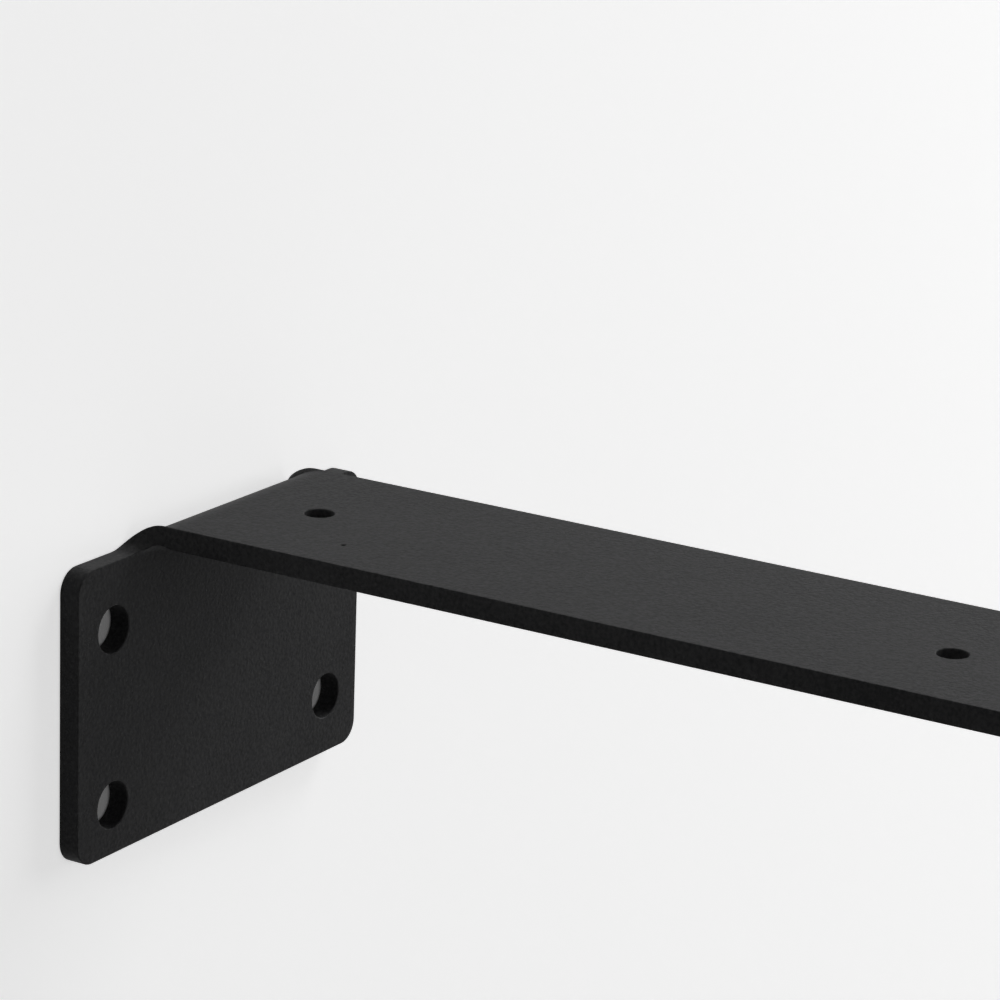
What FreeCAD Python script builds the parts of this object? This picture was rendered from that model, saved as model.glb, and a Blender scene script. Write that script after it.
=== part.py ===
import FreeCAD, Part
import os
import Sketcher
from FreeCAD import Vector

# Floating shelf bracket: one steel sheet, cut to a T and folded once.
#
# The wide end is the wall plate, with two screw holes down each side. The
# narrow end is the arm, which leaves the top of the plate through a round
# bend and carries the shelf.
#
# Frame: the origin lies on the back face of the wall plate, on the centre
# line, at the middle height of the left screw holes. +X runs along the wall,
# +Y into the wall, +Z up, and the arm reaches out along -Y.

NODE = "bracket"

# Driving dimensions in millimetres: alias, value and what the size is.
SIZES = [
    ("sheet_thick", 5.0, "thickness of the sheet, coating included"),
    ("plate_width", 105.0, "wall plate, side to side"),
    ("plate_below", 31.0, "wall plate, from the origin down to its lower edge"),
    ("arm_rise", 40.5, "top face of the arm above the origin"),
    ("shoulder_drop", 6.0, "shoulders of the wall plate below the arm's top face"),
    ("bottom_corner", 5.0, "corner radius at the plate's lower edge"),
    ("top_corner", 6.0, "corner radius at the outer end of each shoulder"),
    ("root_radius", 5.5, "inside corner between shoulder and arm"),
    ("arm_width", 57.0, "arm, side to side"),
    ("arm_reach", 220.0, "from the wall to the free end of the arm"),
    ("arm_corner", 6.0, "corner radius at the free end of the arm"),
    ("bend_inner", 6.0, "inner radius of the bend"),
    ("wall_bore", 10.5, "diameter of the holes for the wall screws"),
    ("wall_columns", 80.5, "left to right spacing of the wall screw holes"),
    ("wall_rows", 39.5, "spacing of the left holes, upper to lower"),
    ("right_raise", 2.5, "lower right hole above the level of the lower left hole"),
    ("shelf_bore", 6.6, "diameter of the holes for the shelf screws"),
    ("inner_hole", 29.5, "from the wall to the inner shelf screw hole"),
    ("shelf_pitch", 152.0, "inner to outer shelf screw hole, along the arm"),
    ("outer_aside", 2.5, "outer shelf screw hole left of the arm's centre line"),
]

# Lengths that follow from the driving dimensions, as formulas of the sheet.
ZERO = "0"
THICK = "sizes.sheet_thick"
HALF_PLATE = "sizes.plate_width / 2"
HALF_ARM = "sizes.arm_width / 2"
BOTTOM = "-sizes.plate_below"
ARM_TOP = "sizes.arm_rise"
ARM_UNDER = "sizes.arm_rise - sizes.sheet_thick"
SHOULDER = "sizes.arm_rise - sizes.shoulder_drop"
ROOT = "sizes.root_radius"
BEND_OUTER = "(sizes.bend_inner + sizes.sheet_thick)"
BEND_START = f"sizes.arm_rise - {BEND_OUTER}"
# The tool that rounds the back of the bend stands this far off the metal.
RELIEF = "(sizes.root_radius + sizes.sheet_thick)"

doc = FreeCAD.newDocument("shelf_bracket")
sheet = doc.addObject("Spreadsheet::Sheet", "sizes")
for row, (alias, value, meaning) in enumerate(SIZES, start=1):
    sheet.set(f"A{row}", meaning)
    sheet.set(f"B{row}", str(value))
    sheet.setAlias(f"B{row}", alias)
doc.recompute()

body = doc.addObject("PartDesign::Body", NODE)
body.Label = NODE


def plane(role):
    """One of the body's own origin planes."""
    return next(item for item in body.Origin.OriginFeatures if item.Role == role)


def sketch_on(name, role, offset=ZERO):
    """A new sketch on an origin plane, moved along the plane's normal."""
    sketch = body.newObject("Sketcher::SketchObject", name)
    sketch.AttachmentSupport = [(plane(role), "")]
    sketch.MapMode = "FlatFace"
    sketch.setExpression("AttachmentOffset.Base.z", offset)
    doc.recompute()
    return sketch


def spot(sketch, point):
    """The present place of a point that is given by two formulas."""
    across, up = (float(sketch.evalExpression(formula)) for formula in point)
    return Vector(across, up, 0)


def pin(sketch, geometry, end, point):
    """Bind one point of a sketch to two formulas of the sheet."""
    kinds = (("DistanceX", -2), ("DistanceY", -1))
    for (kind, axis), formula in zip(kinds, point):
        if formula == ZERO:
            sketch.addConstraint(Sketcher.Constraint("PointOnObject", geometry, end, axis))
            continue
        present = float(sketch.evalExpression(formula))
        index = sketch.addConstraint(Sketcher.Constraint(kind, geometry, end, present))
        sketch.setExpression(f"Constraints[{index}]", formula)


def bind_radius(sketch, geometry, radius):
    """Bind the radius of an arc or circle to a formula of the sheet."""
    present = float(sketch.evalExpression(radius))
    index = sketch.addConstraint(Sketcher.Constraint("Radius", geometry, present))
    sketch.setExpression(f"Constraints[{index}]", radius)


def end_at(sketch, geometry, place):
    """Which end of a line or arc lies at a place: 1 for its start, 2 for its end."""
    gaps = {end: (sketch.getPoint(geometry, end) - place).Length for end in (1, 2)}
    return min(gaps, key=gaps.get)


def arc_through(start, finish, centre, radius):
    """The short arc from start to finish round a centre."""
    towards = (start + finish) * 0.5 - centre
    return Part.Arc(start, centre + towards.normalize() * radius, finish)


def outline(sketch, corners, arcs):
    """Close a chain of lines and arcs through the corners.

    arcs holds, for the corner where an arc begins, its centre and radius.
    """
    places = [spot(sketch, corner) for corner in corners]
    pieces = []
    for index, start in enumerate(places):
        finish = places[(index + 1) % len(places)]
        if index in arcs:
            centre, radius = arcs[index]
            size = float(sketch.evalExpression(radius))
            shape = arc_through(start, finish, spot(sketch, centre), size)
        else:
            shape = Part.LineSegment(start, finish)
        pieces.append(sketch.addGeometry(shape, False))
    for index, piece in enumerate(pieces):
        before = pieces[index - 1]
        here = end_at(sketch, piece, places[index])
        there = end_at(sketch, before, places[index])
        sketch.addConstraint(Sketcher.Constraint("Coincident", before, there, piece, here))
        pin(sketch, piece, here, corners[index])
    for index, (_, radius) in arcs.items():
        bind_radius(sketch, pieces[index], radius)


def circles(sketch, centres, bore):
    """Round holes of one bore, each centre bound to its own two formulas."""
    for centre in centres:
        present = float(sketch.evalExpression(bore)) / 2
        circle = Part.Circle(spot(sketch, centre), Vector(0, 0, 1), present)
        geometry = sketch.addGeometry(circle, False)
        pin(sketch, geometry, 3, centre)
        bind_radius(sketch, geometry, f"{bore} / 2")


def feature(kind, name, sketch):
    """A feature of the body that takes its shape from a sketch."""
    made = body.newObject(f"PartDesign::{kind}", name)
    made.Profile = sketch
    return made


def settle(made):
    """Recompute up to a new feature and make it the body's tip."""
    body.Tip = made
    doc.recompute()
    return made


# Wall plate: a rectangle with rounded corners, a shoulder at each side and a
# neck between them that the inside corners lead up to.
left_plate, right_plate = f"-{HALF_PLATE}", HALF_PLATE
left_arm, right_arm = f"-{HALF_ARM}", HALF_ARM
low = f"{BOTTOM} + sizes.bottom_corner"
high = f"{SHOULDER} - sizes.top_corner"
neck = f"{SHOULDER} + {ROOT}"
plate_sketch = sketch_on("plate_outline", "XZ_Plane")
outline(
    plate_sketch,
    corners=[
        (f"{left_plate} + sizes.bottom_corner", BOTTOM),
        (f"{right_plate} - sizes.bottom_corner", BOTTOM),
        (right_plate, low),
        (right_plate, high),
        (f"{right_plate} - sizes.top_corner", SHOULDER),
        (f"{right_arm} + {ROOT}", SHOULDER),
        (right_arm, neck),
        (left_arm, neck),
        (f"{left_arm} - {ROOT}", SHOULDER),
        (f"{left_plate} + sizes.top_corner", SHOULDER),
        (left_plate, high),
        (left_plate, low),
    ],
    arcs={
        1: ((f"{right_plate} - sizes.bottom_corner", low), "sizes.bottom_corner"),
        3: ((f"{right_plate} - sizes.top_corner", high), "sizes.top_corner"),
        5: ((f"{right_arm} + {ROOT}", neck), ROOT),
        7: ((f"{left_arm} - {ROOT}", neck), ROOT),
        9: ((f"{left_plate} + sizes.top_corner", high), "sizes.top_corner"),
        11: ((f"{left_plate} + sizes.bottom_corner", low), "sizes.bottom_corner"),
    },
)
plate = feature("Pad", "plate", plate_sketch)
plate.setExpression("Length", THICK)
settle(plate)


def back_of_bend(name, offset, radius):
    """Sketch of what lies behind and above a bend of the given outer radius."""
    sketch = sketch_on(name, "YZ_Plane", offset)
    start = f"sizes.arm_rise - {radius}"
    over = f"{ARM_TOP} + {RELIEF}"
    outline(
        sketch,
        corners=[
            (ZERO, start),
            (f"-{radius}", ARM_TOP),
            (f"-{radius}", over),
            (RELIEF, over),
            (RELIEF, start),
        ],
        arcs={0: ((f"-{radius}", start), radius)},
    )
    return sketch


# Back of the bend, rounded across the arm's width on the plate's neck.
neck_sketch = back_of_bend("neck_round", ZERO, BEND_OUTER)
neck_cut = feature("Pocket", "neck_cut", neck_sketch)
neck_cut.setExpression("Length", "sizes.arm_width")
neck_cut.Midplane = True
plate_volume = plate.Shape.Volume
settle(neck_cut)
if neck_cut.Shape.Volume >= plate_volume:
    raise RuntimeError("the neck is not rounded")

# The rounding runs out over the inside corner: beside the arm it has the
# bend's radius, and it meets the back of the flat shoulder without a step.
inner_sketch = back_of_bend("corner_round_inner", HALF_ARM, BEND_OUTER)
outer_sketch = back_of_bend("corner_round_outer", f"{HALF_ARM} + {ROOT}", "sizes.shoulder_drop")
corner_cut = body.newObject("PartDesign::SubtractiveLoft", "corner_cut")
corner_cut.Profile = inner_sketch
corner_cut.Sections = [outer_sketch]
corner_cut.Ruled = True
settle(corner_cut)
corner_cuts = body.newObject("PartDesign::Mirrored", "corner_cuts")
corner_cuts.Originals = [corner_cut]
corner_cuts.MirrorPlane = (plane("YZ_Plane"), [""])
settle(corner_cuts)
if corner_cuts.Shape.Volume >= corner_cut.Shape.Volume:
    raise RuntimeError("the second inside corner is not rounded")

# Arm: the sheet's section from the plate round the bend to the free end.
arm_sketch = sketch_on("arm_section", "YZ_Plane")
outline(
    arm_sketch,
    corners=[
        (ZERO, BOTTOM),
        (ZERO, BEND_START),
        (f"-{BEND_OUTER}", ARM_TOP),
        ("-sizes.arm_reach", ARM_TOP),
        ("-sizes.arm_reach", ARM_UNDER),
        (f"-{BEND_OUTER}", ARM_UNDER),
        (f"-{THICK}", BEND_START),
        (f"-{THICK}", BOTTOM),
    ],
    arcs={
        1: ((f"-{BEND_OUTER}", BEND_START), BEND_OUTER),
        5: ((f"-{BEND_OUTER}", BEND_START), "sizes.bend_inner"),
    },
)
arm = feature("Pad", "arm", arm_sketch)
arm.setExpression("Length", "sizes.arm_width")
arm.Midplane = True
settle(arm)

# Rounded corners at the arm's free end.
arm_end = -sheet.arm_reach
end_edges = [
    f"Edge{index}"
    for index, edge in enumerate(arm.Shape.Edges, start=1)
    if all(abs(vertex.Y - arm_end) < 0.001 for vertex in edge.Vertexes)
    and abs(edge.Vertexes[0].Z - edge.Vertexes[-1].Z) > sheet.sheet_thick / 2
]
end_round = body.newObject("PartDesign::Fillet", "end_round")
end_round.Base = (arm, end_edges)
end_round.setExpression("Radius", "sizes.arm_corner")
settle(end_round)

# Wall screw holes: the left pair is level with the sheet's row spacing about
# the origin, and the lower right hole sits a little above its neighbour.
column = "sizes.wall_columns / 2"
row_height = "sizes.wall_rows / 2"
wall_sketch = sketch_on("wall_hole_centres", "XZ_Plane")
circles(
    wall_sketch,
    centres=[
        (f"-{column}", row_height),
        (f"-{column}", f"-{row_height}"),
        (column, row_height),
        (column, f"-{row_height} + sizes.right_raise"),
    ],
    bore="sizes.wall_bore",
)
wall_holes = feature("Pocket", "wall_holes", wall_sketch)
wall_holes.Type = "ThroughAll"
wall_holes.Midplane = True
settle(wall_holes)

# Shelf screw holes through the arm.
shelf_sketch = sketch_on("shelf_hole_centres", "XY_Plane", ARM_TOP)
circles(
    shelf_sketch,
    centres=[
        (ZERO, "-sizes.inner_hole"),
        ("-sizes.outer_aside", "-(sizes.inner_hole + sizes.shelf_pitch)"),
    ],
    bore="sizes.shelf_bore",
)
shelf_holes = feature("Pocket", "shelf_holes", shelf_sketch)
shelf_holes.setExpression("Length", f"{THICK} + sizes.bend_inner")
settle(shelf_holes)

# Nothing is written unless every feature is sound and every hole went through.
for item in doc.Objects:
    if "Invalid" in item.State or "Error" in item.State:
        raise RuntimeError(f"{item.Name} failed: {item.State}")
shape = body.Shape
if shape.isNull() or not shape.isValid() or len(shape.Solids) != 1:
    raise RuntimeError("the bracket is not one sound solid")
hole_volume = (
    4 * Part.makeCylinder(sheet.wall_bore / 2, sheet.sheet_thick).Volume
    + 2 * Part.makeCylinder(sheet.shelf_bore / 2, sheet.sheet_thick).Volume
)
if abs(end_round.Shape.Volume - shape.Volume - hole_volume) > 0.01:
    raise RuntimeError("a screw hole is not cut right through")

os.makedirs("parts", exist_ok=True)
shape.exportStep(f"parts/{NODE}.step")
box = shape.BoundBox
print(f"{NODE}: {box.XLength:.2f} x {box.YLength:.2f} x {box.ZLength:.2f} mm, {shape.Volume:.0f} mm3")
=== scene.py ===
import logging
import math
from collections.abc import Callable
from dataclasses import dataclass, field
from enum import Enum

import bpy
from mathutils import Matrix, Vector, geometry


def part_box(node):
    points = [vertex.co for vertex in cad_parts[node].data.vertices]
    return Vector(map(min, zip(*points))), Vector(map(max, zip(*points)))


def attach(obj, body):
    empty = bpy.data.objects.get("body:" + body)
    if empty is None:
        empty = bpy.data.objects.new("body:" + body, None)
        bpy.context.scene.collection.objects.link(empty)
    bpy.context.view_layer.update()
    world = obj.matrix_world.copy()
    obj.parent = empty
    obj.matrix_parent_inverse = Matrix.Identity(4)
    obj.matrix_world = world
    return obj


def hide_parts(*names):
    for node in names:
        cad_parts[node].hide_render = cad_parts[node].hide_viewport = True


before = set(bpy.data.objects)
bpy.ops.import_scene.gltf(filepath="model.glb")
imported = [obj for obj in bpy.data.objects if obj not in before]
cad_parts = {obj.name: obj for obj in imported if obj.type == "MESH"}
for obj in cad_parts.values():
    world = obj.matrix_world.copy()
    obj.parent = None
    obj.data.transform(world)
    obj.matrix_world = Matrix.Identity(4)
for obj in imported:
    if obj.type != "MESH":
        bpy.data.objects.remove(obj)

MM = 0.001
QUARTER = math.pi / 2.0
NODE = "bracket"

Colour = tuple[float, float, float]
Spot = tuple[float, float]
Range = tuple[float, float]
Socket = bpy.types.NodeSocket

log = logging.getLogger("shelf_bracket")


class Face(Enum):
    """The two broad faces of the folded sheet."""

    OUTER = "outer"
    INNER = "inner"

    @property
    def other(self) -> "Face":
        """The face on the far side of the steel."""
        return Face.INNER if self is Face.OUTER else Face.OUTER


def smooth_step(low: float, high: float, value: float) -> float:
    """Ease from 0 at low to 1 at high."""
    share = min(1.0, max(0.0, (value - low) / (high - low)))
    return share * share * (3.0 - 2.0 * share)


def spaced(start: float, end: float, step: float) -> list[float]:
    """Even values from start to end, both included, no further apart than step."""
    count = max(1, math.ceil(abs(end - start) / step - 1e-9))
    return [start + (end - start) * i / count for i in range(count + 1)]


@dataclass(frozen=True)
class Bend:
    """The turn from the wall plate into the arm, in millimetres.

    The press has drawn the turn tighter towards the arm's two edges, so they stand a
    little prouder than its middle. Past the arm's edge the turn runs out in the
    shoulders of the plate. Heights are measured from the arm's top.

    Attributes:
        sheet: thickness of the steel.
        start: distance from the sharp corner at which the turn begins and ends.
        half_arm: half the arm's width.
        half_root: distance from the centre line where the inside corner ends.
        outer_middle: outer radius over the middle of the arm.
        outer_edge: outer radius at the arm's edges.
        outer_root: outer radius where the inside corner ends.
        outer_ease: how quickly the outer radius falls past the arm's edge.
        tight_from: distance from the centre line at which the outer radius tightens.
        inner_edge: inner radius at the arm's edges.
        inner_root: inner radius where the inside corner ends.
        inner_from: distance from the centre line at which the inner radius tightens.
        lift: height by which the underside hollows up at the arm's edges.
        lift_depth: distance of that hollow from the plate's back.
        lift_width: its width.
        lift_reach: how far it reaches in from the arm's edge.
        lift_past: how far it runs past the arm's edge.
    """

    sheet: float = 5.0
    start: float = 13.0
    half_arm: float = 28.5
    half_root: float = 35.0
    outer_middle: float = 12.3
    outer_edge: float = 9.0
    outer_root: float = 6.0
    outer_ease: float = 2.4
    tight_from: float = 27.0
    inner_edge: float = 2.0
    inner_root: float = 0.75
    inner_from: float = 8.0
    lift: float = 0.45
    lift_depth: float = 8.3
    lift_width: float = 1.9
    lift_reach: float = 8.0
    lift_past: float = 1.0

    @property
    def length(self) -> float:
        """Length of the turn along the outer face in the middle of the arm."""
        return self.run(Face.OUTER, 0.0)[2]

    def offset(self, face: Face) -> float:
        """How deep this face lies under the outer one."""
        return 0.0 if face is Face.OUTER else self.sheet

    def outer_radius(self, x: float) -> float:
        """Radius of the turn on the outer face.

        Args:
            x: place across the arm.

        Returns:
            The radius at that place.
        """
        side = abs(x)
        if side <= self.half_arm:
            ease = smooth_step(self.tight_from, self.half_arm, side)
            return self.outer_middle + (self.outer_edge - self.outer_middle) * ease
        share = min(1.0, (side - self.half_arm) / (self.half_root - self.half_arm))
        fall = 1.0 - (1.0 - share) ** self.outer_ease
        return self.outer_edge + (self.outer_root - self.outer_edge) * fall

    def inner_radius(self, x: float) -> float:
        """Radius of the turn on the inner face.

        Args:
            x: place across the arm.

        Returns:
            The radius at that place.
        """
        side = abs(x)
        middle = self.outer_middle - self.sheet
        ease = smooth_step(self.inner_from, self.half_arm, side)
        past = smooth_step(self.half_arm, self.half_root, side)
        return middle + (self.inner_edge - middle) * ease + (self.inner_root - self.inner_edge) * past

    def radius(self, face: Face, x: float) -> float:
        """Radius of the turn on one face at x."""
        return self.outer_radius(x) if face is Face.OUTER else self.inner_radius(x)

    def run(self, face: Face, x: float) -> tuple[float, float, float]:
        """Lengths of the turn's parts.

        Args:
            face: the face that is asked for.
            x: place across the arm.

        Returns:
            The straight run on either side of the arc, the arc, and all three together.
        """
        radius = self.radius(face, x)
        straight = self.start - self.offset(face) - radius
        arc = radius * math.pi / 2.0
        return straight, arc, 2.0 * straight + arc

    def along(self, face: Face, x: float, share: float) -> tuple[float, float]:
        """Point of the turn's profile.

        Args:
            face: the face that is asked for.
            x: place across the arm.
            share: 0 where the turn starts on the plate, 1 where it ends on the arm.

        Returns:
            Depth y from the plate's back and height z from the arm's top.
        """
        radius = self.radius(face, x)
        offset = self.offset(face)
        straight, arc, whole = self.run(face, x)
        path = share * whole
        if path <= straight:
            return -offset, -self.start + path
        centre = -offset - radius
        if path >= straight + arc:
            y, z = centre - (path - straight - arc), -offset
        else:
            angle = (path - straight) / radius
            y, z = centre + radius * math.cos(angle), centre + radius * math.sin(angle)
        if face is Face.INNER and abs(x) <= self.half_arm + self.lift_past:
            swell = math.exp(-(((y + self.lift_depth) / self.lift_width) ** 2))
            z += self.lift * smooth_step(self.half_arm - self.lift_reach, self.half_arm, abs(x)) * swell
        return y, z

    def share_at(self, face: Face, x: float, height: float) -> float:
        """Find where the turn reaches a height.

        Args:
            face: the face that is asked for.
            x: place across the arm.
            height: height from the arm's top, below zero.

        Returns:
            The share of the turn at which the face is at this height.
        """
        radius = self.radius(face, x)
        straight, _, whole = self.run(face, x)
        centre = -self.offset(face) - radius
        if height <= centre:
            return (height + self.start) / whole
        angle = math.asin(min(1.0, (height - centre) / radius))
        return (straight + radius * angle) / whole


@dataclass(frozen=True)
class Hole:
    """A round hole, in millimetres.

    Attributes:
        x: centre across the sheet.
        place: height up the plate, or y along the arm.
        radius: radius of the hole.
        on_arm: True on the arm, False on the plate.
        steps: how many pieces the rim has.
    """

    x: float
    place: float
    radius: float
    on_arm: bool
    steps: int = 48


@dataclass(frozen=True)
class Pit:
    """A small dent in the coated face, in millimetres.

    Attributes:
        x: centre across the sheet.
        place: height up the plate, or y along the arm.
        width: how wide the dent is.
        depth: how deep the dent is.
        face: the face that it is in.
        on_arm: True on the arm, False on the plate.
    """

    x: float
    place: float
    width: float
    depth: float
    face: Face
    on_arm: bool


@dataclass(frozen=True)
class RimPoint:
    """One point of the sheet's cut edge: x and the unrolled length on both faces."""

    x: float
    outer: float
    inner: float

    def on(self, face: Face) -> Spot:
        """The point on one face of the unrolled sheet."""
        return self.x, self.outer if face is Face.OUTER else self.inner


@dataclass(frozen=True)
class FoldedSheet:
    """One steel sheet cut to a T, with a softened cut edge, and folded into a bracket.

    Lengths are in millimetres. The unrolled length v is the height below the arm's top
    on the plate, carries on round the bend, and then runs out along the arm.

    Attributes:
        half_plate: half the plate's width.
        bottom: height of the plate's lower edge.
        reach: distance of the arm's end from the wall.
        arm_top: height of the arm's top face.
        holes: the holes through the sheet.
        pits: the small dents in its faces.
        bend: the turn from plate to arm.
        shoulder: height of the plate's shoulders, from the arm's top.
        low_corner: radius of the plate's lower corners.
        top_corner: radius of the shoulders' outer corners.
        arm_corner: radius of the corners at the arm's end.
        root_top: height at which the inside corner runs into the arm, from its top.
        root_ease: how late the inside corner turns up on the inner face.
        root_past: how far the inside corner runs past the arc on the inner face.
        root_steps: how many pieces the inside corner has.
        corner_steps: how many pieces an outside corner has.
        edge_step: longest piece of a straight cut edge.
        shoulder_step: longest piece of the shoulders' edge.
        softened: radius to which the cut edges are softened.
        soft_steps: how many pieces that rounding has.
        slope_step: how far to either side the slope of a face is taken.
        dent_slope_step: the same where a face has pits.
    """

    half_plate: float
    bottom: float
    reach: float
    arm_top: float
    holes: tuple[Hole, ...] = ()
    pits: tuple[Pit, ...] = ()
    bend: Bend = field(default_factory=Bend)
    shoulder: float = -5.8
    low_corner: float = 5.0
    top_corner: float = 5.2
    arm_corner: float = 6.0
    root_top: float = -0.5
    root_ease: float = 2.3
    root_past: float = 0.1
    root_steps: int = 16
    corner_steps: int = 8
    edge_step: float = 3.0
    shoulder_step: float = 1.5
    softened: float = 0.28
    soft_steps: int = 4
    slope_step: float = 0.05
    dent_slope_step: float = 0.08

    @property
    def turn_start(self) -> float:
        """Unrolled length where the bend begins."""
        return -self.bend.start

    @property
    def turn_end(self) -> float:
        """Unrolled length where the bend ends."""
        return self.turn_start + self.bend.length

    @property
    def low(self) -> float:
        """Unrolled length of the plate's lower edge."""
        return self.bottom - self.arm_top

    @property
    def far(self) -> float:
        """Unrolled length of the arm's end."""
        return self.arm_length(-self.reach)

    def arm_length(self, y: float) -> float:
        """Unrolled length of a place out along the arm."""
        return self.turn_end - self.bend.start - y

    def centre_of(self, spot: Hole | Pit) -> float:
        """Unrolled length of the centre of a hole or pit."""
        return self.arm_length(spot.place) if spot.on_arm else spot.place - self.arm_top

    def length_at(self, face: Face, x: float, height: float) -> float:
        """Unrolled length of a height on the plate or in the bend.

        Args:
            face: the face that is asked for.
            x: place across the sheet.
            height: height from the arm's top, below zero.

        Returns:
            The unrolled length.
        """
        if height <= self.turn_start:
            return height
        return self.turn_start + self.bend.share_at(face, x, height) * self.bend.length

    def rim_at(self, x: float, height: float) -> RimPoint:
        """Point of the cut edge that is at this height on both faces."""
        return RimPoint(x, self.length_at(Face.OUTER, x, height), self.length_at(Face.INNER, x, height))

    def skin(self, face: Face, x: float, v: float) -> Vector:
        """Place of a point of the unrolled sheet once it is folded.

        Args:
            face: the face that it lies on.
            x: place across the sheet.
            v: unrolled length.

        Returns:
            The point in the object's frame, in metres.
        """
        offset = self.bend.offset(face)
        if v <= self.turn_start:
            y, z = -offset, v
        elif v >= self.turn_end:
            y, z = -self.bend.start - (v - self.turn_end), -offset
        else:
            y, z = self.bend.along(face, x, (v - self.turn_start) / self.bend.length)
        return Vector((x, y, z + self.arm_top)) * MM

    def dented(self, face: Face, x: float, v: float) -> Vector:
        """Place of a point of the face, with the small pits pressed in.

        Args:
            face: the face that it lies on.
            x: place across the sheet.
            v: unrolled length.

        Returns:
            The point in the object's frame, in metres.
        """
        point = self.skin(face, x, v)
        for pit in self.pits:
            if pit.face is not face:
                continue
            away = math.hypot(x - pit.x, v - self.centre_of(pit)) / (pit.width / 2.0)
            if away < 1.0:
                depth = pit.depth * (1.0 - away * away) ** 2
                point -= self.normal(face, x, v) * depth * MM
        return point

    @staticmethod
    def facing(
        surface: Callable[[Face, float, float], Vector], face: Face, x: float, v: float, step: float
    ) -> Vector:
        """Outward direction of a surface over the unrolled sheet.

        Args:
            surface: gives the place of a point of the face.
            face: the face that is asked for.
            x: place across the sheet.
            v: unrolled length.
            step: how far to either side the slope is taken.

        Returns:
            The direction, one long.
        """
        across = surface(face, x + step, v) - surface(face, x - step, v)
        ahead = surface(face, x, v + step) - surface(face, x, v - step)
        direction = across.cross(ahead).normalized()
        return -direction if face is Face.OUTER else direction

    def normal(self, face: Face, x: float, v: float) -> Vector:
        """Outward direction of one face, without its pits."""
        return self.facing(self.skin, face, x, v, self.slope_step)

    def dented_normal(self, face: Face, x: float, v: float) -> Vector:
        """Outward direction of one face, with its pits."""
        return self.facing(self.dented, face, x, v, self.dent_slope_step)

    def corner(self, x: float, v: float, radius: float, turn: float) -> list[RimPoint]:
        """A rounded outside corner on a flat part of the sheet.

        Args:
            x: centre of the arc across the sheet.
            v: centre of the arc along the unrolled sheet.
            radius: radius of the arc.
            turn: angle from which the arc sweeps a quarter turn to the left.

        Returns:
            The points of the arc, both ends included.
        """
        points = []
        for i in range(self.corner_steps + 1):
            angle = turn + QUARTER * i / self.corner_steps
            place = v + radius * math.sin(angle)
            points.append(RimPoint(x + radius * math.cos(angle), place, place))
        return points

    def top_corner_points(self) -> list[RimPoint]:
        """The rounded outer corner of a shoulder, on the side of +x.

        Returns:
            The points of the arc, from the plate's side to the shoulder.
        """
        points = []
        for i in range(self.corner_steps + 1):
            angle = QUARTER * i / self.corner_steps
            x = self.half_plate - self.top_corner + self.top_corner * math.cos(angle)
            height = self.shoulder - self.top_corner + self.top_corner * math.sin(angle)
            points.append(self.rim_at(x, height))
        return points

    def root_points(self) -> list[RimPoint]:
        """The inside corner between shoulder and arm, on the side of +x.

        Returns:
            The points of the corner, from the shoulder to the arm.
        """
        bend = self.bend
        begin = bend.start + self.shoulder
        straight, arc, _ = bend.run(Face.INNER, bend.half_arm)
        finish = straight + arc + self.root_past
        points = []
        for i in range(self.root_steps + 1):
            angle = QUARTER * i / self.root_steps
            x = bend.half_root - (bend.half_root - bend.half_arm) * math.sin(angle)
            height = self.shoulder + (self.root_top - self.shoulder) * (1.0 - math.cos(angle))
            path = begin + (finish - begin) * math.sin(angle) ** self.root_ease
            inner = self.turn_start + path / bend.run(Face.INNER, x)[2] * bend.length
            points.append(RimPoint(x, self.length_at(Face.OUTER, x, height), inner))
        return points

    def plate_side(self) -> list[RimPoint]:
        """The plate's cut edge on the side of +x.

        Returns:
            The points from the middle of the lower edge to the shoulder's outer corner.
        """
        low = self.low
        centre_x = self.half_plate - self.low_corner
        centre_v = low + self.low_corner
        points = [RimPoint(x, low, low) for x in spaced(0.0, centre_x, self.edge_step)]
        points += self.corner(centre_x, centre_v, self.low_corner, -QUARTER)[1:]
        rise = spaced(centre_v, self.shoulder - self.top_corner, self.edge_step)
        points += [RimPoint(self.half_plate, v, v) for v in rise[1:-1]]
        return points + self.top_corner_points()

    def arm_side(self, last: RimPoint) -> list[RimPoint]:
        """The arm's cut edge on the side of +x.

        Args:
            last: the point at which the inside corner ends.

        Returns:
            The points after it, to the middle of the arm's end.
        """
        half_arm = self.bend.half_arm
        points = []
        for i in range(1, self.root_steps + 1):
            share = i / self.root_steps
            outer = last.outer + (self.turn_end - last.outer) * share
            inner = last.inner + (self.turn_end - last.inner) * share
            points.append(RimPoint(half_arm, outer, inner))
        far = self.far
        centre_x = half_arm - self.arm_corner
        centre_v = far - self.arm_corner
        points += [RimPoint(half_arm, v, v) for v in spaced(self.turn_end, centre_v, self.edge_step)[1:-1]]
        points += self.corner(centre_x, centre_v, self.arm_corner, 0.0)
        return points + [RimPoint(x, far, far) for x in spaced(centre_x, 0.0, self.edge_step)[1:]]

    def outline(self) -> list[RimPoint]:
        """The sheet's whole cut edge, once round.

        Returns:
            Its points, with the steel on their left.
        """
        half = self.plate_side()
        root = self.root_points()
        for x in spaced(half[-1].x, root[0].x, self.shoulder_step)[1:-1]:
            half.append(self.rim_at(x, self.shoulder))
        half += root + self.arm_side(root[-1])
        return half + [RimPoint(-p.x, p.outer, p.inner) for p in reversed(half[1:-1])]

    def hole_rim(self, hole: Hole) -> list[RimPoint]:
        """The edge of one hole.

        Args:
            hole: the hole.

        Returns:
            Its points, turning so that the steel is on their left.
        """
        centre = self.centre_of(hole)
        points = []
        for i in range(hole.steps):
            angle = -math.tau * i / hole.steps
            v = centre + hole.radius * math.sin(angle)
            points.append(RimPoint(hole.x + hole.radius * math.cos(angle), v, v))
        return points


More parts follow.
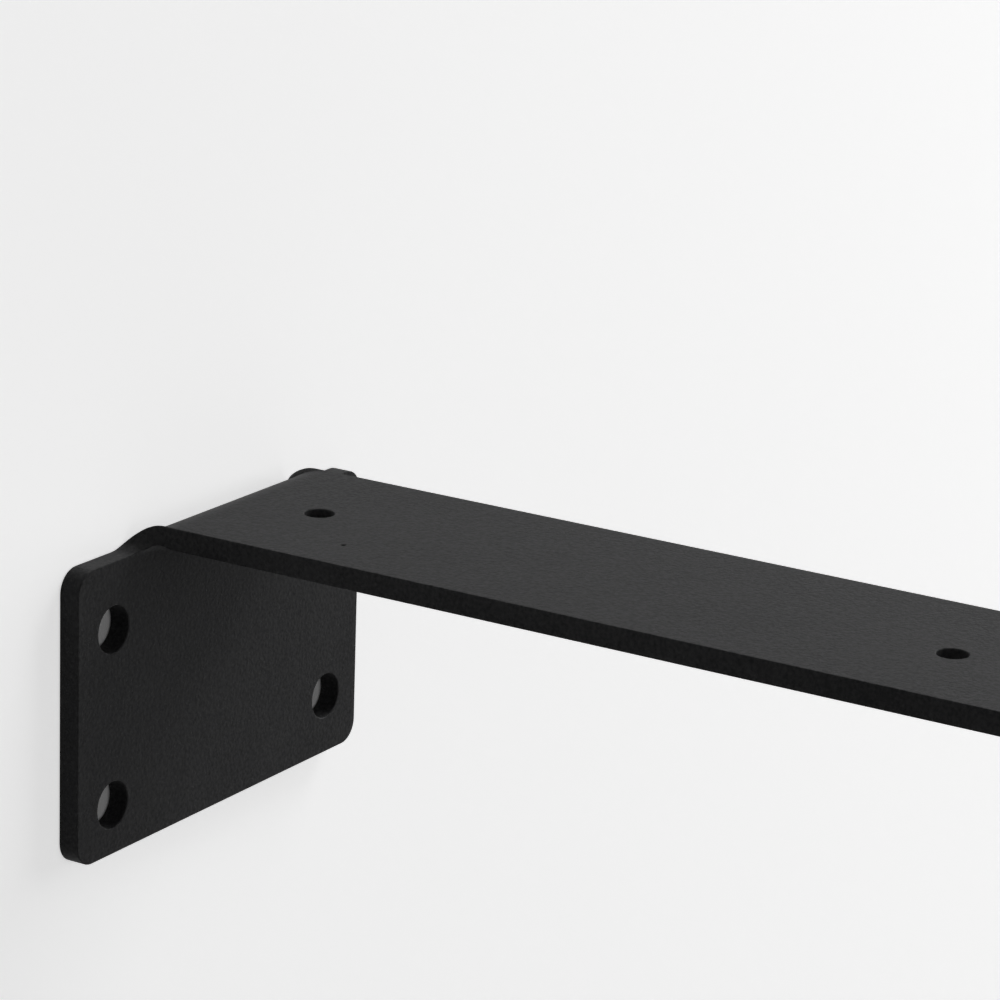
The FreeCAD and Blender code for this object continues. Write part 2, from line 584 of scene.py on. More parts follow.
@dataclass
class SheetMesh:
    """Builds the mesh of a folded sheet: two faces and the rounded cut edge between them.

    Three values are kept for each vertex and read by the coat: wear, which is 0 on the
    faces and 1 on a corner's crest, cut, which is 1 on the cut edge, and pit_darkening,
    which rises with depth to 1 in the bottom of a pit. Lengths are in millimetres.

    Attributes:
        sheet: the sheet that is built.
        coarse: spacing of the vertices on the flat parts.
        fine: spacing in the bend, and across the arm near its edges.
        finest: spacing across the arm's edges and the inside corners.
        fine_zone: how far from the arm's edge the fine spacing starts.
        finest_zone: how far inside the arm's edge the finest spacing starts.
        past_bend: how far the fine spacing runs past the bend.
        clearance: smallest distance from a loose vertex to an edge or a pit's vertex.
        pit_rings: rings of vertices within a pit.
        darkest_pit_depth: depth at which a pit's coat is fully darkened.
        least_wear: wear on the softened edge away from its crest.
    """

    sheet: FoldedSheet
    coarse: float = 3.0
    fine: float = 0.75
    finest: float = 0.4
    fine_zone: float = 6.0
    finest_zone: float = 3.0
    past_bend: float = 2.0
    clearance: float = 0.5
    pit_rings: int = 6
    darkest_pit_depth: float = 0.2
    least_wear: float = 0.25
    points: list[Vector] = field(default_factory=list)
    normals: list[Vector] = field(default_factory=list)
    wear: list[float] = field(default_factory=list)
    cut: list[float] = field(default_factory=list)
    pit_darkening: list[float] = field(default_factory=list)
    faces: list[tuple[int, ...]] = field(default_factory=list)

    def add(self, point: Vector, normal: Vector, wear: float, cut: float, pit_darkening: float = 0.0) -> int:
        """Add one vertex.

        Args:
            point: its place, in metres.
            normal: its outward direction.
            wear: how much the coat is rubbed there.
            cut: 1 on the cut edge, 0 on the broad faces.
            pit_darkening: how much darker the coat is there, by the pit's depth.

        Returns:
            The vertex's number.
        """
        self.points.append(point)
        self.normals.append(normal)
        self.wear.append(wear)
        self.cut.append(cut)
        self.pit_darkening.append(pit_darkening)
        return len(self.points) - 1

    def inset(self, loop: list[RimPoint], face: Face) -> list[Spot]:
        """Move a loop into the steel by the softened edge's width.

        Args:
            loop: the points of the cut edge.
            face: the face that is asked for.

        Returns:
            The moved points on that face of the unrolled sheet.
        """
        flat = [p.on(face) for p in loop]
        moved = []
        for i, (x, v) in enumerate(flat):
            before, after = flat[i - 1], flat[(i + 1) % len(flat)]
            tx, tv = after[0] - before[0], after[1] - before[1]
            size = math.hypot(tx, tv)
            moved.append((x - tv / size * self.sheet.softened, v + tx / size * self.sheet.softened))
        return moved

    def soft_corner(self, loop: list[RimPoint], face: Face) -> list[list[int]]:
        """Build the vertices of the rounding between one broad face and the cut edge.

        Args:
            loop: the points of the cut edge.
            face: the broad face.

        Returns:
            Rows of vertex numbers, from the broad face to the cut edge.
        """
        sheet = self.sheet
        here = [sheet.skin(face, *p.on(face)) for p in loop]
        across = [sheet.skin(face.other, *p.on(face.other)) for p in loop]
        width = sheet.softened * MM
        rows: list[list[int]] = [[] for _ in range(sheet.soft_steps + 1)]
        for i, spot in enumerate(self.inset(loop, face)):
            tangent = here[(i + 1) % len(loop)] - here[i - 1]
            through = (across[i] - here[i]).normalized()
            outward = through.cross(tangent).normalized()
            side = sheet.skin(face, *spot)
            if (side - here[i]).dot(outward) > 0.0:
                outward.negate()
            top = sheet.normal(face, *spot)
            for step, row in enumerate(rows):
                share = step / sheet.soft_steps
                angle = QUARTER * step / sheet.soft_steps
                place = here[i] + (side - here[i]) * (1.0 - math.sin(angle))
                place += through * width * (1.0 - math.cos(angle))
                tilt = (top * math.cos(angle) + outward * math.sin(angle)).normalized()
                crest = 1.0 - abs(share - 0.5) * 2.0
                wear = self.least_wear + (1.0 - self.least_wear) * crest
                row.append(self.add(place, tilt, wear, share))
        return rows

    def rim(self, loop: list[RimPoint]) -> dict[Face, list[int]]:
        """Build the rounded edge along one loop.

        Args:
            loop: the points of the cut edge.

        Returns:
            The vertex numbers where the edge meets each broad face.
        """
        rows = self.soft_corner(loop, Face.OUTER)
        rows += self.soft_corner(loop, Face.INNER)[::-1]
        count = len(loop)
        for low, high in zip(rows, rows[1:]):
            for i in range(count):
                after = (i + 1) % count
                self.faces.append((low[i], low[after], high[after], high[i]))
        return {Face.OUTER: rows[0], Face.INNER: rows[-1]}

    def grid(self) -> list[Spot]:
        """Loose vertices over the whole unrolled sheet, closer together near the bend.

        Returns:
            The points, also those that lie off the steel.
        """
        sheet = self.sheet
        arm = sheet.bend.half_arm
        fine_from, fine_to = arm - self.fine_zone, arm + self.fine_zone
        right = spaced(0.0, fine_from, self.coarse)
        right += spaced(fine_from, arm - self.finest_zone, self.fine)[1:]
        right += spaced(arm - self.finest_zone, fine_to, self.finest)[1:]
        right += spaced(fine_to, sheet.half_plate, self.coarse)[1:]
        across = sorted({round(side * x, 4) for x in right for side in (1.0, -1.0)})
        bend_from, bend_to = sheet.turn_start - self.past_bend, sheet.turn_end + self.past_bend
        along = spaced(sheet.low, bend_from, self.coarse)
        along += spaced(bend_from, bend_to, self.fine)[1:]
        along += spaced(bend_to, sheet.far, self.coarse)[1:]
        return [(x, v) for v in along for x in across]

    def pit_spots(self, face: Face) -> list[Spot]:
        """Extra vertices in and around each pit, so that its dish has a shape.

        Args:
            face: the face that is asked for.

        Returns:
            The points on that face of the unrolled sheet.
        """
        found = []
        for pit in self.sheet.pits:
            if pit.face is not face:
                continue
            centre = self.sheet.centre_of(pit)
            for ring in range(1, self.pit_rings + 2):
                reach = pit.width / 2.0 * ring / self.pit_rings
                count = 6 * ring
                for i in range(count):
                    angle = math.tau * (i + 0.5 * (ring % 2)) / count
                    found.append((pit.x + reach * math.cos(angle), centre + reach * math.sin(angle)))
            found.append((pit.x, centre))
        return found

    def broad_face(self, face: Face, loops: list[list[RimPoint]], edges: list[list[int]]) -> None:
        """Fill one broad face between its loops.

        Args:
            face: the face to fill.
            loops: the outline first, then the holes.
            edges: vertex numbers of each loop where the rounded edge meets this face.
        """
        rings = [self.inset(loop, face) for loop in loops]
        flat: list[Spot] = []
        known: list[int] = []
        lines: list[tuple[int, int]] = []
        for ring, numbers in zip(rings, edges):
            start = len(flat)
            flat += ring
            known += numbers
            lines += [(start + i, start + (i + 1) % len(ring)) for i in range(len(ring))]
        pits = self.pit_spots(face)
        loose = [p for p in self.grid() if all(math.dist(p, q) > self.clearance for q in pits)]
        for x, v in loose + pits:
            if self.inside((x, v), rings) and self.clear((x, v), rings, self.clearance):
                flat.append((x, v))
                place = self.sheet.dented(face, x, v)
                # The coat is darker the deeper the pit is at this point.
                sunk = (self.sheet.skin(face, x, v) - place).length / (self.darkest_pit_depth * MM)
                tilt = self.sheet.dented_normal(face, x, v)
                known.append(self.add(place, tilt, 0.0, 0.0, min(1.0, sunk)))
        made = geometry.delaunay_2d_cdt([Vector(p) for p in flat], lines, [], 0, 1e-6)
        spots, triangles, origins = made[0], made[2], made[3]
        for triangle in triangles:
            middle = sum((spots[i] for i in triangle), Vector((0.0, 0.0))) / 3.0
            if not self.inside((middle.x, middle.y), rings):
                continue
            numbers = [known[origins[i][0]] for i in triangle]
            if face is Face.OUTER:
                numbers.reverse()
            self.faces.append(tuple(numbers))

    @staticmethod
    def inside(point: Spot, rings: list[list[Spot]]) -> bool:
        """Tell whether a point lies on steel.

        Args:
            point: a point of the unrolled sheet.
            rings: the outline and the holes.

        Returns:
            True within the outline and in no hole.
        """
        x, v = point
        odd = False
        for ring in rings:
            for i, (x1, v1) in enumerate(ring):
                x0, v0 = ring[i - 1]
                if (v0 > v) != (v1 > v) and x < (x1 - x0) * (v - v0) / (v1 - v0) + x0:
                    odd = not odd
        return odd

    @staticmethod
    def clear(point: Spot, rings: list[list[Spot]], gap: float) -> bool:
        """Tell whether a point keeps its distance from every edge.

        Args:
            point: a point of the unrolled sheet.
            rings: the outline and the holes.
            gap: the smallest distance.

        Returns:
            True where no edge is nearer than that.
        """
        for ring in rings:
            for i, (x1, v1) in enumerate(ring):
                x0, v0 = ring[i - 1]
                dx, dv = x1 - x0, v1 - v0
                size = dx * dx + dv * dv
                share = ((point[0] - x0) * dx + (point[1] - v0) * dv) / size
                share = min(1.0, max(0.0, share))
                if math.dist(point, (x0 + share * dx, v0 + share * dv)) < gap:
                    return False
        return True

    def build(self, name: str) -> bpy.types.Object:
        """Make the Blender object.

        Args:
            name: its name in the scene.

        Returns:
            The object, linked to the scene.
        """
        loops = [self.sheet.outline()] + [self.sheet.hole_rim(h) for h in self.sheet.holes]
        met = [self.rim(loop) for loop in loops]
        for face in Face:
            self.broad_face(face, loops, [m[face] for m in met])
        mesh = bpy.data.meshes.new(name)
        mesh.from_pydata([tuple(p) for p in self.points], [], self.faces)
        mesh.validate()
        mesh.update()
        for label, values in (("wear", self.wear), ("cut", self.cut), ("pit_darkening", self.pit_darkening)):
            layer = mesh.attributes.new(label, "FLOAT", "POINT")
            layer.data.foreach_set("value", values)
        mesh.shade_smooth()
        mesh.normals_split_custom_set_from_vertices([tuple(n) for n in self.normals])
        made = bpy.data.objects.new(name, mesh)
        bpy.context.collection.objects.link(made)
        return made


@dataclass
class NodeSketch:
    """Short hand for building the node tree of a material or of the world."""

    tree: bpy.types.NodeTree

    def __post_init__(self) -> None:
        """Start from an empty tree."""
        self.tree.nodes.clear()

    @classmethod
    def of(cls, owner: bpy.types.Material | bpy.types.World) -> "NodeSketch":
        """A sketch of this material's or world's nodes."""
        owner.use_nodes = True
        return cls(owner.node_tree)

    def add(self, kind: str, **values: object) -> bpy.types.Node:
        """Add a node and set its sockets or properties.

        Args:
            kind: Blender's name of the node type, without the leading ShaderNode.
            values: a socket's name with underscores for spaces, or a property's name.

        Returns:
            The node.
        """
        node = self.tree.nodes.new("ShaderNode" + kind)
        for key, value in values.items():
            if hasattr(node, key):
                setattr(node, key, value)
            else:
                node.inputs[key.replace("_", " ")].default_value = value
        return node

    def link(self, start: Socket, end: Socket) -> None:
        """Join two sockets."""
        self.tree.links.new(start, end)

    def surface(self, shader: Socket, kind: str = "OutputMaterial") -> None:
        """Make this shader the tree's result."""
        self.link(shader, self.add(kind).inputs["Surface"])

    def attribute(self, name: str) -> Socket:
        """Value that the mesh keeps for each vertex under this name."""
        return self.add("Attribute", attribute_name=name).outputs["Fac"]

    def noise(self, place: Socket, scale: float, detail: float) -> Socket:
        """Add a noise pattern.

        Args:
            place: the place that it is looked up at.
            scale: how many blotches lie in a metre.
            detail: how many finer layers it has.

        Returns:
            The pattern's value.
        """
        node = self.add("TexNoise", Scale=scale, Detail=detail)
        self.link(place, node.inputs["Vector"])
        return node.outputs["Fac"]

    def ramp(self, value: Socket, between: Range, start: float, end: float) -> Socket:
        """Map a value from one range to another and hold it at the ends.

        Args:
            value: the value.
            between: the values between which the result changes.
            start: the result at the first of them.
            end: the result at the second.

        Returns:
            The mapped value.
        """
        low, high = between
        node = self.add("MapRange", From_Min=low, From_Max=high, To_Min=start, To_Max=end)
        self.link(value, node.inputs["Value"])
        return node.outputs["Result"]

    def math(self, operation: str, first: Socket, second: Socket | float) -> Socket:
        """Add one arithmetic step.

        Args:
            operation: Blender's name of the operation.
            first: the first value.
            second: the second value, or a plain number.

        Returns:
            The result.
        """
        node = self.add("Math", operation=operation)
        self.link(first, node.inputs[0])
        if isinstance(second, Socket):
            self.link(second, node.inputs[1])
        else:
            node.inputs[1].default_value = second
        return node.outputs["Value"]

    def blend(self, first: Socket, share: float, second: Socket) -> Socket:
        """Add two values, with this share of the first and the rest of the second."""
        return self.math(
            "ADD", self.math("MULTIPLY", first, share), self.math("MULTIPLY", second, 1.0 - share)
        )

    def tint(self, share: Socket, first: Socket | Colour, second: Colour) -> Socket:
        """Blend from one colour to another.

        Args:
            share: 0 for the first colour, 1 for the second.
            first: the first colour, or what it comes from.
            second: the second colour.

        Returns:
            The blended colour.
        """
        node = self.add("Mix", data_type="RGBA")
        before, after = (s for s in node.inputs if s.type == "RGBA")
        self.link(share, node.inputs["Factor"])
        if isinstance(first, Socket):
            self.link(first, before)
        else:
            before.default_value = (*first, 1.0)
        after.default_value = (*second, 1.0)
        return next(s for s in node.outputs if s.type == "RGBA")

    def bump(
        self, height: Socket, strength: float, depth: float, under: Socket | None = None
    ) -> Socket:
        """Add a bump.

        Args:
            height: the pattern that it rises with.
            strength: how strongly it shows.
            depth: its height in metres.
            under: the bump that it lies on.

        Returns:
            The bumped direction.
        """
        node = self.add("Bump", Strength=strength, Distance=depth)
        self.link(height, node.inputs["Height"])
        if under is not None:
            self.link(under, node.inputs["Normal"])
        return node.outputs["Normal"]

    def seeing(self) -> Socket:
        """Tell the rays that show the backdrop from those that light with it.

        Returns:
            1 for camera, glossy and transmission rays, 0 for the others.
        """
        ray = self.add("LightPath").outputs
        seen = self.math("MAXIMUM", ray["Is Camera Ray"], ray["Is Glossy Ray"])
        return self.math("MAXIMUM", seen, ray["Is Transmission Ray"])


@dataclass(frozen=True)
class PowderCoat:
    """Matt black powder coat with a fine grain, rubbed a little lighter along its edges.

    Attributes:
        dark: colour in the grain's hollows.
        light: colour on its crests.
        rubbed: colour where an edge is rubbed.
        dust: colour of the rare specks.
        pit_darkening: colour that the coat darkens to in the bottom of a pit.
        gloss: level of the coat's reflection.
        grain: scale of the fine grain.
        ripple: scale of the slight orange peel.
        cloud: scale of the broad, faint clouds.
        patches: scale of the patches in which the edges are rubbed.
        specks: scale of the cells that may hold a speck.
        scratches: scale of the fine lines on the cut edge.
        grain_share: share of the grain in the colour, against the clouds.
        shades: values of the pattern between which the colour runs from dark to light.
        rubbing: how far the edges are rubbed.
        rubbed_patches: values of the patches between which the rubbing sets in.
        speck_size: distances from a cell's middle between which a speck fades out.
        speck_shades: shades of a cell between which it comes to hold a speck.
        speck_cover: how well a speck covers the coat.
        rough_shades: values of the pattern between which the roughness rises.
        smoothest: lowest roughness.
        roughest: highest roughness.
        polish: how much smoother a rubbed edge is.
        relief: height of the grain and of the orange peel, in metres.
        grain_strength: how strongly the grain's height shows.
        ripple_strength: how strongly the orange peel's height shows.
        scratch_relief: height of the fine lines, in metres.
        scratch_strength: how strongly their height shows.
        scratch_stretch: scale of the fine lines along their length, against across.
    """

    dark: Colour = (0.024, 0.024, 0.025)
    light: Colour = (0.066, 0.066, 0.067)
    rubbed: Colour = (0.085, 0.085, 0.086)
    dust: Colour = (0.16, 0.158, 0.155)
    # Colour that the coat darkens to towards a pit's bottom, by its depth.
    pit_darkening: Colour = (0.006, 0.006, 0.006)
    gloss: float = 0.07
    grain: float = 1150.0
    ripple: float = 520.0
    cloud: float = 38.0
    patches: float = 260.0
    specks: float = 170.0
    scratches: float = 900.0
    grain_share: float = 0.62
    shades: Range = (0.36, 0.64)
    rubbing: float = 0.55
    rubbed_patches: Range = (0.42, 0.66)
    speck_size: Range = (0.045, 0.075)
    speck_shades: Range = (0.955, 0.965)
    speck_cover: float = 0.6
    rough_shades: Range = (0.3, 0.7)
    smoothest: float = 0.52
    roughest: float = 0.66
    polish: float = 0.16
    relief: float = 0.00016
    grain_strength: float = 0.75
    ripple_strength: float = 0.30
    scratch_relief: float = 0.00015
    scratch_strength: float = 0.25
    scratch_stretch: float = 0.25

    def speckled(self, draw: NodeSketch, place: Socket, colour: Socket) -> Socket:
        """Scatter rare, small specks of dust over a colour.

        Args:
            draw: the material's sketch.
            place: the place on the piece.
            colour: the colour under the specks.

        Returns:
            The colour with the specks.
        """
        cells = draw.add("TexVoronoi", Scale=self.specks)
        draw.link(place, cells.inputs["Vector"])
        speck = draw.ramp(cells.outputs["Distance"], self.speck_size, 1.0, 0.0)
        shade = draw.add("SeparateColor")
        draw.link(cells.outputs["Color"], shade.inputs["Color"])
        rare = draw.ramp(shade.outputs["Red"], self.speck_shades, 0.0, self.speck_cover)
        return draw.tint(draw.math("MULTIPLY", speck, rare), colour, self.dust)

    def bumped(self, draw: NodeSketch, place: Socket, grain: Socket) -> Socket:
        """Raise the grain, the orange peel and the fine lines of the cut edge.

        Args:
            draw: the material's sketch.
            place: the place on the piece.
            grain: the fine grain.

        Returns:
            The bumped direction.
        """
        fine = draw.bump(grain, self.grain_strength, self.relief)
        peel = draw.noise(place, self.ripple, 3.0)
        broad = draw.bump(peel, self.ripple_strength, self.relief, fine)
        drawn = draw.add("Mapping", Scale=(1.0, 1.0, self.scratch_stretch))
        draw.link(place, drawn.inputs["Vector"])
        lines = draw.noise(drawn.outputs["Vector"], self.scratches, 1.0)
        lines = draw.math("MULTIPLY", lines, draw.attribute("cut"))
        return draw.bump(lines, self.scratch_strength, self.scratch_relief, broad)

    def material(self, name: str) -> bpy.types.Material:
        """Build the finish.

        Args:
            name: the material's name.

        Returns:
            The material.
        """
        made = bpy.data.materials.new(name)
        draw = NodeSketch.of(made)
        place = draw.add("TexCoord").outputs["Object"]
        grain = draw.noise(place, self.grain, 2.0)
        cloud = draw.noise(place, self.cloud, 3.0)
        patchy = draw.ramp(draw.noise(place, self.patches, 3.0), self.rubbed_patches, 0.0, 1.0)
        worn = draw.math("MULTIPLY", draw.attribute("wear"), patchy)
        rub = draw.math("MULTIPLY", worn, self.rubbing)

        shade = draw.ramp(draw.blend(grain, self.grain_share, cloud), self.shades, 0.0, 1.0)
        colour = draw.tint(shade, self.dark, self.light)
        colour = draw.tint(rub, colour, self.rubbed)
        colour = self.speckled(draw, place, colour)
        # Darker towards the bottom of a pit, by its depth.
        colour = draw.tint(draw.attribute("pit_darkening"), colour, self.pit_darkening)

        uneven = draw.blend(cloud, 0.5, grain)
        rough = draw.ramp(uneven, self.rough_shades, self.smoothest, self.roughest)
        rough = draw.math("SUBTRACT", rough, draw.math("MULTIPLY", rub, self.polish))

        shader = draw.add("BsdfPrincipled", Metallic=0.0, IOR=1.5, Specular_IOR_Level=self.gloss)
        draw.link(colour, shader.inputs["Base Color"])
        draw.link(rough, shader.inputs["Roughness"])
        draw.link(self.bumped(draw, place, grain), shader.inputs["Normal"])
        draw.surface(shader.outputs["BSDF"])
        return made


@dataclass(frozen=True)
class PalePaint:
    """Matt pale paint that the camera sees whiter than it lights its surroundings.

    Attributes:
        name: the material's name.
        grey: the paint's own colour, the same in all channels.
        whiteness: strength that is added for camera, glossy and transmission rays.
        clear_from_behind: True where the back of the surface lets everything through.
    """

    name: str
    grey: float
    whiteness: float
    clear_from_behind: bool = False

    def material(self) -> bpy.types.Material:
        """Build the finish.

        Returns:
            The material.
        """
        made = bpy.data.materials.new(self.name)
        draw = NodeSketch.of(made)
        paint = draw.add("BsdfDiffuse", Color=(self.grey, self.grey, self.grey, 1.0))
        glow = draw.add("Emission")
        draw.link(draw.math("MULTIPLY", draw.seeing(), self.whiteness), glow.inputs["Strength"])
        both = draw.add("AddShader")
        draw.link(paint.outputs["BSDF"], both.inputs[0])
        draw.link(glow.outputs["Emission"], both.inputs[1])
        result = both.outputs["Shader"]
        if self.clear_from_behind:
            mix = draw.add("MixShader")
            draw.link(draw.add("NewGeometry").outputs["Backfacing"], mix.inputs["Fac"])
            draw.link(result, mix.inputs[1])
            draw.link(draw.add("BsdfTransparent").outputs["BSDF"], mix.inputs[2])
            result = mix.outputs["Shader"]
        draw.surface(result)
        return made


def stage_piece(
    name: str,
    points: list[tuple[float, float, float]],
    faces: list[tuple[int, ...]],
    paints: list[PalePaint],
) -> bpy.types.Object:
    """Make one flat piece of the stage.

    Args:
        name: the piece's name.
        points: its vertices, in metres.
        faces: its faces.
        paints: its paints; the first one covers it.

    Returns:
        The piece, linked to the scene.
    """
    mesh = bpy.data.meshes.new(name)
    mesh.from_pydata(points, [], faces)
    for paint in paints:
        mesh.materials.append(paint.material())
    made = bpy.data.objects.new(name, mesh)
    bpy.context.collection.objects.link(made)
    return made


@dataclass(frozen=True)
class PaleWall:
    """The plain pale wall that the plate is fixed to, open where the plate covers it.

    It shows from the room's side only, so the bracket can be looked at from behind too.
    Behind the screw holes it has small rounds that get almost none of the paint's added whiteness, so they
    show darker: painted shade, because little light gets there.

    Attributes:
        low: the bracket's lowest corner, in metres.
        high: its highest corner, in metres.
        foot: height of the wall's foot, in metres.
        screw_holes: the holes in the plate.
        paint: the wall's paint.
        hole_shade_paint: the paint behind the screw holes, kept darker as painted shade.
        half_size: half the wall's width and the height of its top, in metres.
        gap: its distance from the plate's back, in metres.
        covered: how far it reaches in behind the plate, in millimetres.
        shoulder: depth of the plate's shoulders under the arm's top, in millimetres.
        hole_margin: how much wider the rounds are than the holes, in millimetres.
    """

    low: Vector
    high: Vector
    foot: float
    screw_holes: tuple[Hole, ...]
    paint: PalePaint = PalePaint("wall_paint", 0.95, 0.60, True)
    # Painted shade: the rounds behind the screw holes get almost none of the added whiteness.
    hole_shade_paint: PalePaint = PalePaint("wall_painted_shade_in_holes", 0.95, 0.03, True)
    half_size: float = 2.5
    gap: float = 0.00015
    covered: float = 2.0
    shoulder: float = 6.0
    hole_margin: float = 0.6

    def build(self) -> bpy.types.Object:
        """Raise the wall behind the plate.

        Returns:
            The wall.
        """
        size = self.half_size
        inset = self.covered * MM
        left, right = self.low.x + inset, self.high.x - inset
        bottom, top = self.low.z + inset, self.high.z - self.shoulder * MM - inset
        outer = [(-size, self.foot), (size, self.foot), (size, size), (-size, size)]
        inner = [(left, bottom), (right, bottom), (right, top), (left, top)]
        points = [(x, self.gap, z) for x, z in outer + inner]
        faces = [(i, (i + 1) % 4, 4 + (i + 1) % 4, 4 + i) for i in range(4)]
        for hole in self.screw_holes:
            radius = (hole.radius + self.hole_margin) * MM
            faces.append(tuple(range(len(points), len(points) + hole.steps)))
            for i in range(hole.steps):
                angle = math.tau * i / hole.steps
                x = hole.x * MM + radius * math.cos(angle)
                points.append((x, self.gap, hole.place * MM + radius * math.sin(angle)))
        wall = stage_piece("wall", points, faces, [self.paint, self.hole_shade_paint])
        # The rounds behind the screw holes take the darker paint, as painted shade.
        for polygon in wall.data.polygons[len(inner):]:
            polygon.material_index = 1
        return wall


@dataclass(frozen=True)
class PaleFloor:
    """A plain pale floor, well below the bracket.

    Attributes:
        level: its height, in metres.
        paint: its paint.
        half_size: half its width, in metres.
    """

    level: float
    paint: PalePaint = PalePaint("pale_floor", 0.30, 0.72)
    half_size: float = 4.0

    def build(self) -> bpy.types.Object:
        """Lay the floor.

        Returns:
            The floor.
        """
        size = self.half_size
        sides = ((-size, -size), (size, -size), (size, size), (-size, size))
        corners = [(x, y, self.level) for x, y in sides]
        return stage_piece("floor", corners, [(0, 1, 2, 3)], [self.paint])


@dataclass(frozen=True)
class SoftBox:
    """A square studio lamp that points at the bracket.

    Attributes:
        name: the lamp's name.
        place: where it hangs, in metres.
        size: its width, in metres.
        power: its power, in watts.
    """

    name: str
    place: tuple[float, float, float]
    size: float
    power: float

    def build(self, target: Vector) -> bpy.types.Object:
        """Hang the lamp and turn it to the target.

        Args:
            target: the point that it lights.

        Returns:
            The lamp, linked to the scene.
        """
        lamp = bpy.data.lights.new(self.name, "AREA")
        lamp.shape = "SQUARE"
        lamp.size = self.size
        lamp.energy = self.power
        made = bpy.data.objects.new(self.name, lamp)
        made.location = self.place
        made.rotation_euler = (target - Vector(self.place)).to_track_quat("-Z", "Y").to_euler()
        bpy.context.collection.objects.link(made)
        return made


@dataclass(frozen=True)
class PhotoCamera:
    """The photograph's camera, solved from the bracket's straight edges and round holes.

    Attributes:
        place: where it stands, in metres.
        heading: degrees to the right of straight at the wall.
        dip: degrees below level.
        roll: degrees that its right side is raised.
        lens: focal length, in millimetres.
        sensor: width of the picture, in millimetres.
        near: nearest distance that it shows, in metres.
        far: furthest distance that it shows, in metres.
    """

    place: tuple[float, float, float] = (-0.704022, -0.505640, 0.294081)
    heading: float = 58.53806
    dip: float = 16.36211
    roll: float = 1.92762
    lens: float = 148.4458
    sensor: float = 36.0
    near: float = 0.01
    far: float = 30.0

    def build(self) -> bpy.types.Object:
        """Place the camera and make it the scene's.

        Returns:
            The camera.
        """
        yaw, dip, roll = (math.radians(a) for a in (self.heading, self.dip, self.roll))
        ahead = Vector((math.sin(yaw) * math.cos(dip), math.cos(yaw) * math.cos(dip), -math.sin(dip)))
        level = ahead.cross(Vector((0.0, 0.0, 1.0))).normalized()
        upward = level.cross(ahead)
        right = level * math.cos(roll) + upward * math.sin(roll)
        above = upward * math.cos(roll) - level * math.sin(roll)
        lens = bpy.data.cameras.new("photo_camera")
        lens.lens = self.lens
        lens.sensor_width = self.sensor
        lens.clip_start, lens.clip_end = self.near, self.far
        made = bpy.data.objects.new("photo_camera", lens)
        turn = Matrix((right, above, -ahead)).transposed().to_4x4()
        made.matrix_world = Matrix.Translation(self.place) @ turn
        bpy.context.collection.objects.link(made)
        bpy.context.scene.camera = made
        return made


@dataclass(frozen=True)
class RoomLight:
    """The faint, even light of the room, which shows as pale grey past wall and floor.

    Attributes:
        strength: how strongly it lights.
        shown: how white it looks, where 1 is white.
    """

    strength: float = 0.02
    shown: float = 0.85

    def build(self) -> bpy.types.World:
        """Make the world.

        Returns:
            The world, set in the scene.
        """
        made = bpy.data.worlds.new("studio_room")
        draw = NodeSketch.of(made)
        back = draw.add("Background", Color=(1.0, 1.0, 1.0, 1.0))
        strength = draw.ramp(draw.seeing(), (0.0, 1.0), self.strength, self.shown)
        draw.link(strength, back.inputs["Strength"])
        draw.surface(back.outputs["Background"], "OutputWorld")
        bpy.context.scene.world = made
        return made


@dataclass(frozen=True)
class Studio:
    """Wall, floor, lamps, the room's faint light and the camera.

    Attributes:
        low: the bracket's lowest corner, in metres.
        high: its highest corner, in metres.
        screw_holes: the holes in the plate.
        floor_drop: depth of the floor under the bracket, in metres.
        lamps: the lamps; the last one lights the plate's back.
    """

    low: Vector
    high: Vector
    screw_holes: tuple[Hole, ...]
    floor_drop: float = 0.8
    lamps: tuple[SoftBox, ...] = (
        SoftBox("key", (1.1, -0.43, 1.25), 0.8, 9.2),
        SoftBox("side", (1.6, -0.6, 0.35), 0.9, 7.2),
        SoftBox("front", (-0.05, -1.7, 0.2), 0.8, 2.4),
        SoftBox("back", (0.5, 1.6, 0.8), 1.2, 9.0),
    )

    def build(self) -> None:
        """Set the studio up round the bracket."""
        level = self.low.z - self.floor_drop
        PaleFloor(level).build()
        log.info("floor at %.3f m", level)
        PaleWall(self.low, self.high, level, self.screw_holes).build()
        log.info("wall behind the plate, open behind it")
        for lamp in self.lamps:
            lamp.build((self.low + self.high) / 2.0)
            log.info("lamp %s: %.2f m across, %.1f W", lamp.name, lamp.size, lamp.power)
        RoomLight().build()
        bpy.context.scene.view_settings.view_transform = "Standard"
        PhotoCamera().build()
        log.info("room light and camera")


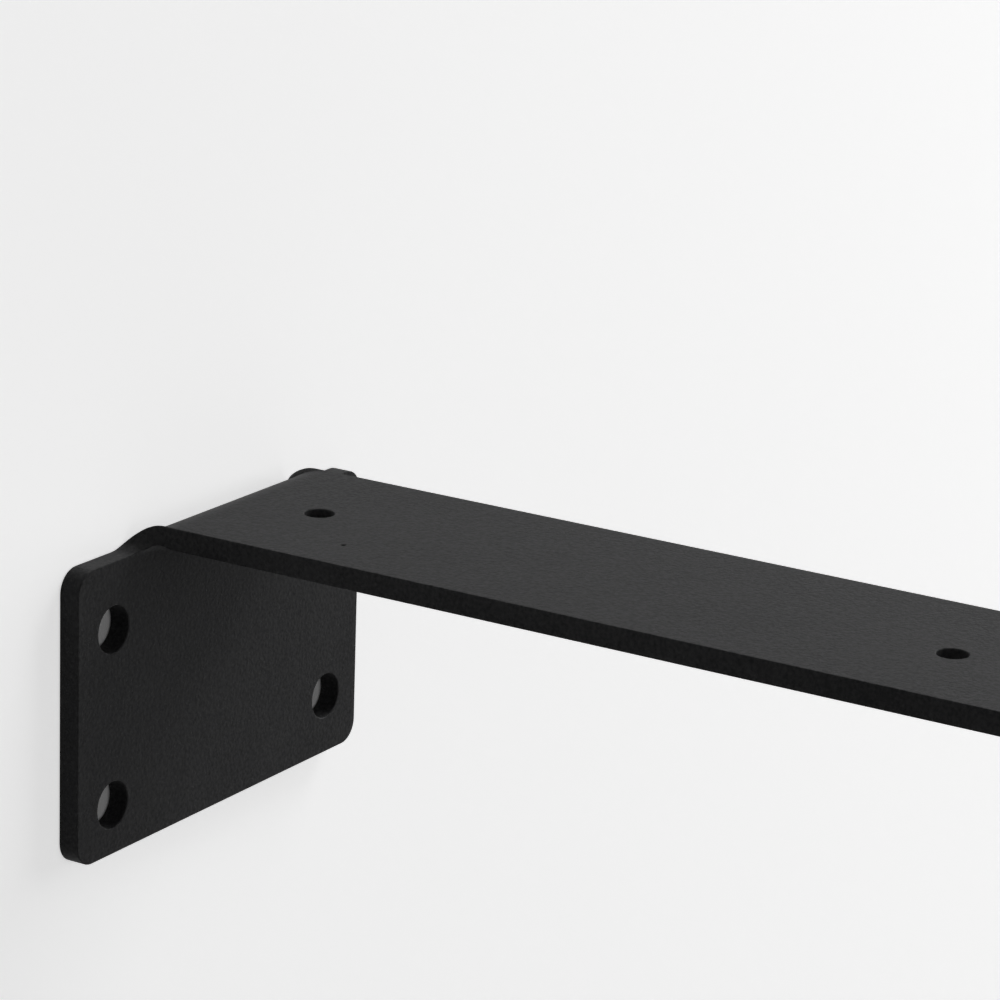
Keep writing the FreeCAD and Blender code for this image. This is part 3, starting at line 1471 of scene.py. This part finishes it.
@dataclass(frozen=True)
class WallBracket:
    """The folded bracket: its sheet, its holes and its finish, in millimetres.

    Attributes:
        low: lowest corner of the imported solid, in metres.
        high: its highest corner, in metres.
        coat: the bracket's finish.
        wall_hole: radius of the screw holes in the plate.
        hole_side: their distance from the centre line.
        hole_rise: their distance from the middle height of the left pair.
        raised: how much higher the lower right one sits than the lower left one.
        shelf_hole: radius of the screw holes in the arm.
        shelf_hole_steps: how many pieces their rims have.
        near_hole: distance of the inner one from the wall.
        far_hole: distance of the outer one from the wall.
        far_shift: how far the outer one lies left of the centre line.
        pit: the small dent in the arm's top.
    """

    low: Vector
    high: Vector
    coat: PowderCoat = PowderCoat()
    wall_hole: float = 5.25
    hole_side: float = 40.25
    hole_rise: float = 19.75
    raised: float = 2.5
    shelf_hole: float = 3.3
    shelf_hole_steps: int = 40
    near_hole: float = 29.5
    far_hole: float = 181.5
    far_shift: float = 2.5
    pit: Pit = Pit(-16.1, -46.6, 1.7, 0.35, Face.OUTER, True)

    def screw_holes(self) -> tuple[Hole, ...]:
        """The holes in the wall plate.

        Returns:
            The left pair, then the right pair, the upper one first.
        """
        side, rise = self.hole_side, self.hole_rise
        return (
            Hole(-side, rise, self.wall_hole, False),
            Hole(-side, -rise, self.wall_hole, False),
            Hole(side, rise, self.wall_hole, False),
            Hole(side, self.raised - rise, self.wall_hole, False),
        )

    def shelf_holes(self) -> tuple[Hole, ...]:
        """The holes in the arm.

        Returns:
            The inner one, then the outer one.
        """
        return (
            Hole(0.0, -self.near_hole, self.shelf_hole, True, self.shelf_hole_steps),
            Hole(-self.far_shift, -self.far_hole, self.shelf_hole, True, self.shelf_hole_steps),
        )

    def sheet(self) -> FoldedSheet:
        """The sheet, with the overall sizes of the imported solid.

        Returns:
            The sheet.
        """
        return FoldedSheet(
            half_plate=self.high.x / MM,
            bottom=self.low.z / MM,
            reach=-self.low.y / MM,
            arm_top=self.high.z / MM,
            holes=self.screw_holes() + self.shelf_holes(),
            pits=(self.pit,),
        )

    def build(self) -> bpy.types.Object:
        """Fold the sheet, coat it and set it on the body.

        Returns:
            The finished piece.
        """
        piece = SheetMesh(self.sheet()).build("folded_bracket")
        piece.data.materials.append(self.coat.material("black_powder_coat"))
        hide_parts(NODE)
        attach(piece, "root")
        return piece


def main() -> None:
    """Build the bracket and its studio."""
    logging.basicConfig(level=logging.INFO, format="%(name)s: %(message)s")
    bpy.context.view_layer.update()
    low, high = (Vector(corner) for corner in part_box(NODE))
    bracket = WallBracket(low, high)
    piece = bracket.build()
    log.info("%s: %d vertices, %d faces", piece.name, len(piece.data.vertices), len(piece.data.polygons))
    Studio(low, high, bracket.screw_holes()).build()


if __name__ == "__main__":
    main()
